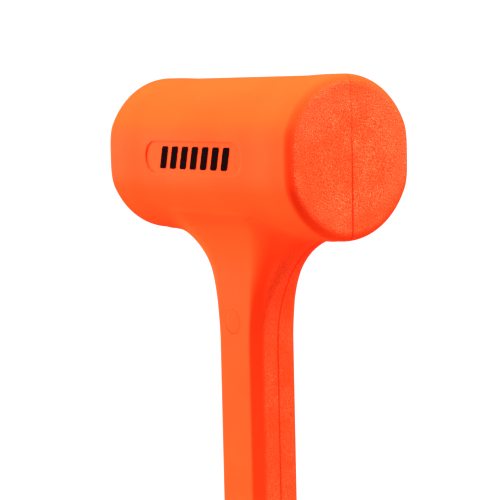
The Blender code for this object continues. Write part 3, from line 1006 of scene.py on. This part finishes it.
class MALLET_OT_badges(bpy.types.Operator):
    """Prints the plain slanted-bar mark in the recess on each side of the head"""

    bl_idname = "mallet.badges"
    bl_label = "Badges"

    def execute(self, context):
        shape = context.scene.mallet_shape
        material = ink_material(context.scene.mallet_finish)
        floor = HEAD_FLAT - shape.recess_depth / MM + 0.02
        for end, turn in (("front", 0.0), ("rear", math.pi)):
            mesh = badge_mesh(f"badge_print_{end}", shape)
            mesh.transform(Matrix.Translation((0.0, -floor * MM, HEAD_Z * MM)))
            mesh.transform(Matrix.Rotation(turn, 4, "Z"))
            add_piece(f"badge_print_{end}", mesh, material, "mallet", "badge_ink", f"badge_{end}")
        return {"FINISHED"}


def bead_ripple(waves, height, turn):
    """Height of the overlapping ripples of a hand-run weld bead, at an angle round it."""
    phase = (turn * waves / (2 * math.pi)) % 1.0
    return height * (1.0 - 2.0 * abs(phase - 0.5))


class MALLET_OT_canister(bpy.types.Operator):
    """Finishes the canister and lays the weld bead round each of its caps"""

    bl_idname = "mallet.canister"
    bl_label = "Shot canister"

    def execute(self, context):
        finish = context.scene.mallet_finish
        steel = drawn_steel_material(finish)
        for node in ("canister_tube", "canister_cap_left", "canister_cap_right"):
            paint_node(node, steel)
        low, high = (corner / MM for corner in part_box("cap_weld_right"))
        outer = TUBE_RADIUS
        inner = CAP_HIGH.y + GAP
        leg = high.x - low.x
        profile = [
            (inner, 0.0),
            (outer - 0.12, 0.0),
            (outer - 0.14, 0.35 * leg),
            (outer - 0.35, 0.6 * leg),
            (outer - 0.75, 0.82 * leg),
            (inner + 0.12, 0.95 * leg),
            (inner, 0.9 * leg),
        ]

        def ripple(turn, index):
            return bead_ripple(56, 0.12, turn) if 1 < index < 6 else 0.0

        for end, side in (("left", -1), ("right", 1)):
            bead = f"cap_bead_{end}"
            mesh = along_x(turned_mesh(bead, profile, 336, True, ripple), side * low.x, side)
            add_piece(bead, mesh, weld_material(finish), "mallet", "weld_steel", f"cap_weld_{end}")
        return {"FINISHED"}


class MALLET_OT_rod(bpy.types.Operator):
    """Finishes the handle rod and its weld to the canister"""

    bl_idname = "mallet.rod"
    bl_label = "Handle rod"

    def execute(self, context):
        finish = context.scene.mallet_finish
        paint_node("handle_rod", drawn_steel_material(finish))
        low, high = (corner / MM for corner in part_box("rod_weld"))
        inner = ROD_RADIUS + GAP
        sides = 240
        rows = 7
        reach = high.x - inner
        points = []
        clear = TUBE_RADIUS + GAP
        for side in range(sides):
            turn = 2 * math.pi * side / sides
            wave = bead_ripple(26, 0.16, turn)
            for row in range(rows):
                rise = math.radians(90) * row / (rows - 1)
                out = inner + 0.15 + (reach - 0.35) * (1 - math.cos(rise)) + wave * math.sin(2 * rise)
                y = out * math.sin(turn)
                under = HEAD_Z - math.sqrt(clear**2 - y * y)
                drop = (under - low.z - 1.0) * (1 - math.sin(rise)) + 0.05
                points.append((out * math.cos(turn), y, under - drop))
            y = inner * math.sin(turn)
            under = HEAD_Z - math.sqrt(clear**2 - y * y)
            points.append((inner * math.cos(turn), y, under - 0.05))
            points.append((inner * math.cos(turn), y, low.z + 0.9))
        bm = ring_form(points, sides, rows + 2, True)
        bmesh.ops.recalc_face_normals(bm, faces=bm.faces)
        mesh = finished_mesh("rod_bead", bm, 45.0)
        add_piece("rod_bead", mesh, weld_material(finish), "mallet", "weld_steel", "rod_weld")
        return {"FINISHED"}


class MALLET_OT_shot(bpy.types.Operator):
    """Fills each sliding layer of shot with round steel pellets"""

    bl_idname = "mallet.shot"
    bl_label = "Steel shot"

    def execute(self, context):
        material = shot_material(context.scene.mallet_finish)
        diameter = context.scene.mallet_shape.pellet_diameter / MM
        pitch = diameter * 1.03
        row_pitch = pitch * 0.87
        wall, end_room = 3.0, 0.2
        for name in sorted(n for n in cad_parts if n.startswith("shot_layer_")):
            low, high = (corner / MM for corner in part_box(name))
            index = int(name.rsplit("_", 1)[1])
            bm = bmesh.new()
            middle = (low.z + high.z) / 2
            edge = abs(middle - HEAD_Z) + diameter / 2
            bore = math.sqrt((TUBE_RADIUS - wall) ** 2 - edge**2)
            rows = int(2 * bore // row_pitch)
            for row in range(rows):
                y = (row - (rows - 1) / 2) * row_pitch
                stagger = 0.5 * pitch * (row % 2)
                count = int((high.x - low.x - stagger - end_room) // pitch)
                start = low.x + diameter / 2 + stagger
                for ball in range(count):
                    made = bmesh.ops.create_icosphere(bm, subdivisions=2, radius=diameter / 2)
                    place = Vector((start + ball * pitch, y, middle))
                    bmesh.ops.translate(bm, verts=made["verts"], vec=place)
            mesh = finished_mesh(f"shot_pellets_{index}", bm, 60.0)
            add_piece(mesh.name, mesh, material, f"shot_{index}", "shot_steel", name)
        return {"FINISHED"}


def view_axes(stage):
    """Right, up and back directions of the camera."""
    azimuth = stage.azimuth
    level = math.cos(stage.elevation)
    back = Vector((math.sin(azimuth) * level, -math.cos(azimuth) * level, math.sin(stage.elevation)))
    right = Vector((math.cos(azimuth), math.sin(azimuth), 0.0))
    up = back.cross(right)
    turn = stage.roll
    return (
        right * math.cos(turn) + up * math.sin(turn),
        up * math.cos(turn) - right * math.sin(turn),
        back,
    )


def add_camera(stage):
    right, up, back = view_axes(stage)
    head = Vector((0.0, 0.0, HEAD_Z * MM))
    place = head + back * stage.distance - right * stage.head_right - up * stage.head_up
    data = bpy.data.cameras.new("camera")
    data.lens = stage.lens
    data.sensor_width = 36.0
    data.clip_start = 0.01
    data.clip_end = 50.0
    camera = bpy.data.objects.new("camera", data)
    turn = Matrix((right, up, back)).transposed().to_4x4()
    camera.matrix_world = Matrix.Translation(place) @ turn
    bpy.context.scene.collection.objects.link(camera)
    bpy.context.scene.camera = camera


def add_softboxes(stage):
    """Soft area lights round the mallet, each aimed at the neck.

    Each is placed by its angle from the camera (positive to the right) and its height angle.
    """
    right, _, back = view_axes(stage)
    forward = Vector((back.x, back.y, 0.0)).normalized()
    aim = Vector((0.0, 0.0, AIM_SHARE * HEAD_Z * MM))
    for name, azimuth, elevation, width, height, power in SOFTBOXES:
        turn = math.radians(azimuth)
        rise = math.radians(elevation)
        level = Vector((right.x, right.y, 0.0)).normalized() * math.sin(turn) + forward * math.cos(turn)
        place = aim + (level * math.cos(rise) + Vector((0.0, 0.0, math.sin(rise)))) * stage.light_distance
        data = bpy.data.lights.new(name, "AREA")
        data.shape = "RECTANGLE"
        data.size = width
        data.size_y = height
        data.energy = power
        light = bpy.data.objects.new(name, data)
        light.location = place
        light.rotation_euler = (aim - place).to_track_quat("-Z", "Y").to_euler()
        bpy.context.scene.collection.objects.link(light)


def floor_material(radius):
    """Pale seamless paper that fades out towards its edge."""
    material, tree, shader = new_material("pale_floor", PAPER, 0.8)
    place = add_node(tree, "ShaderNodeTexCoord").outputs["Object"]
    mottle = place_group(tree, mottle_group(), place, 6.0)
    cloud = math_node(tree, "MULTIPLY", mottle.outputs["Cloud"], 0.3)
    tint = mix_colours(tree, cloud, PAPER, tuple(0.97 * c for c in PAPER))
    tree.links.new(tint, shader.inputs["Base Color"])
    reach = add_node(tree, "ShaderNodeVectorMath", operation="LENGTH")
    tree.links.new(place, reach.inputs[0])
    fade = remap(tree, reach.outputs["Value"], 0.55 * radius, 0.98 * radius, 1.0, 0.0)
    tree.links.new(fade, shader.inputs["Alpha"])
    return material


def add_world():
    """White studio surroundings: bright to look at, gentler as a light."""
    world = bpy.data.worlds.new("studio")
    bpy.context.scene.world = world
    world.use_nodes = True
    tree = world.node_tree
    background = tree.nodes["Background"]
    background.inputs["Color"].default_value = (1.0, 1.0, 1.0, 1.0)
    path = add_node(tree, "ShaderNodeLightPath")
    seen = math_node(tree, "MULTIPLY", path.outputs["Is Camera Ray"], 1.2)
    tree.links.new(math_node(tree, "ADD", seen, 0.03), background.inputs["Strength"])


class MALLET_OT_stage(bpy.types.Operator):
    """Sets the pale floor, soft lights and camera"""

    bl_idname = "mallet.stage"
    bl_label = "Stage"

    def execute(self, context):
        stage = context.scene.mallet_stage
        bm = bmesh.new()
        radius = stage.floor_radius / MM
        bmesh.ops.create_circle(bm, cap_ends=True, segments=96, radius=radius)
        mesh = finished_mesh("floor", bm)
        mesh.materials.append(floor_material(stage.floor_radius))
        floor = bpy.data.objects.new("floor", mesh)
        context.scene.collection.objects.link(floor)
        floor.location.z = BODY_LOW.z * MM - 0.0002
        add_camera(stage)
        add_world()
        add_softboxes(stage)
        context.scene.view_settings.view_transform = "Standard"
        context.scene.view_settings.look = "None"
        return {"FINISHED"}


STEPS = ("cast_body", "pin_plugs", "badges", "canister", "rod", "shot", "stage")


class MALLET_PT_panel(bpy.types.Panel):
    """Lists the steps that build the mallet"""

    bl_idname = "MALLET_PT_panel"
    bl_label = "Dead blow mallet"
    bl_space_type = "VIEW_3D"
    bl_region_type = "UI"
    bl_category = "Mallet"

    def draw(self, context):
        column = self.layout.column(align=True)
        for step in STEPS:
            column.operator("mallet." + step)


GROUPS = {
    "mallet_shape": MALLET_PG_shape,
    "mallet_finish": MALLET_PG_finish,
    "mallet_stage": MALLET_PG_stage,
}
CLASSES = (
    *GROUPS.values(),
    MALLET_OT_cast_body,
    MALLET_OT_pin_plugs,
    MALLET_OT_badges,
    MALLET_OT_canister,
    MALLET_OT_rod,
    MALLET_OT_shot,
    MALLET_OT_stage,
    MALLET_PT_panel,
)


def register():
    for cls in CLASSES:
        bpy.utils.register_class(cls)
    for name, group in GROUPS.items():
        setattr(bpy.types.Scene, name, PointerProperty(type=group))


def unregister():
    for name in GROUPS:
        delattr(bpy.types.Scene, name)
    for cls in reversed(CLASSES):
        bpy.utils.unregister_class(cls)


def main():
    register()
    for step in STEPS:
        getattr(bpy.ops.mallet, step)()


if __name__ == "__main__":
    main()
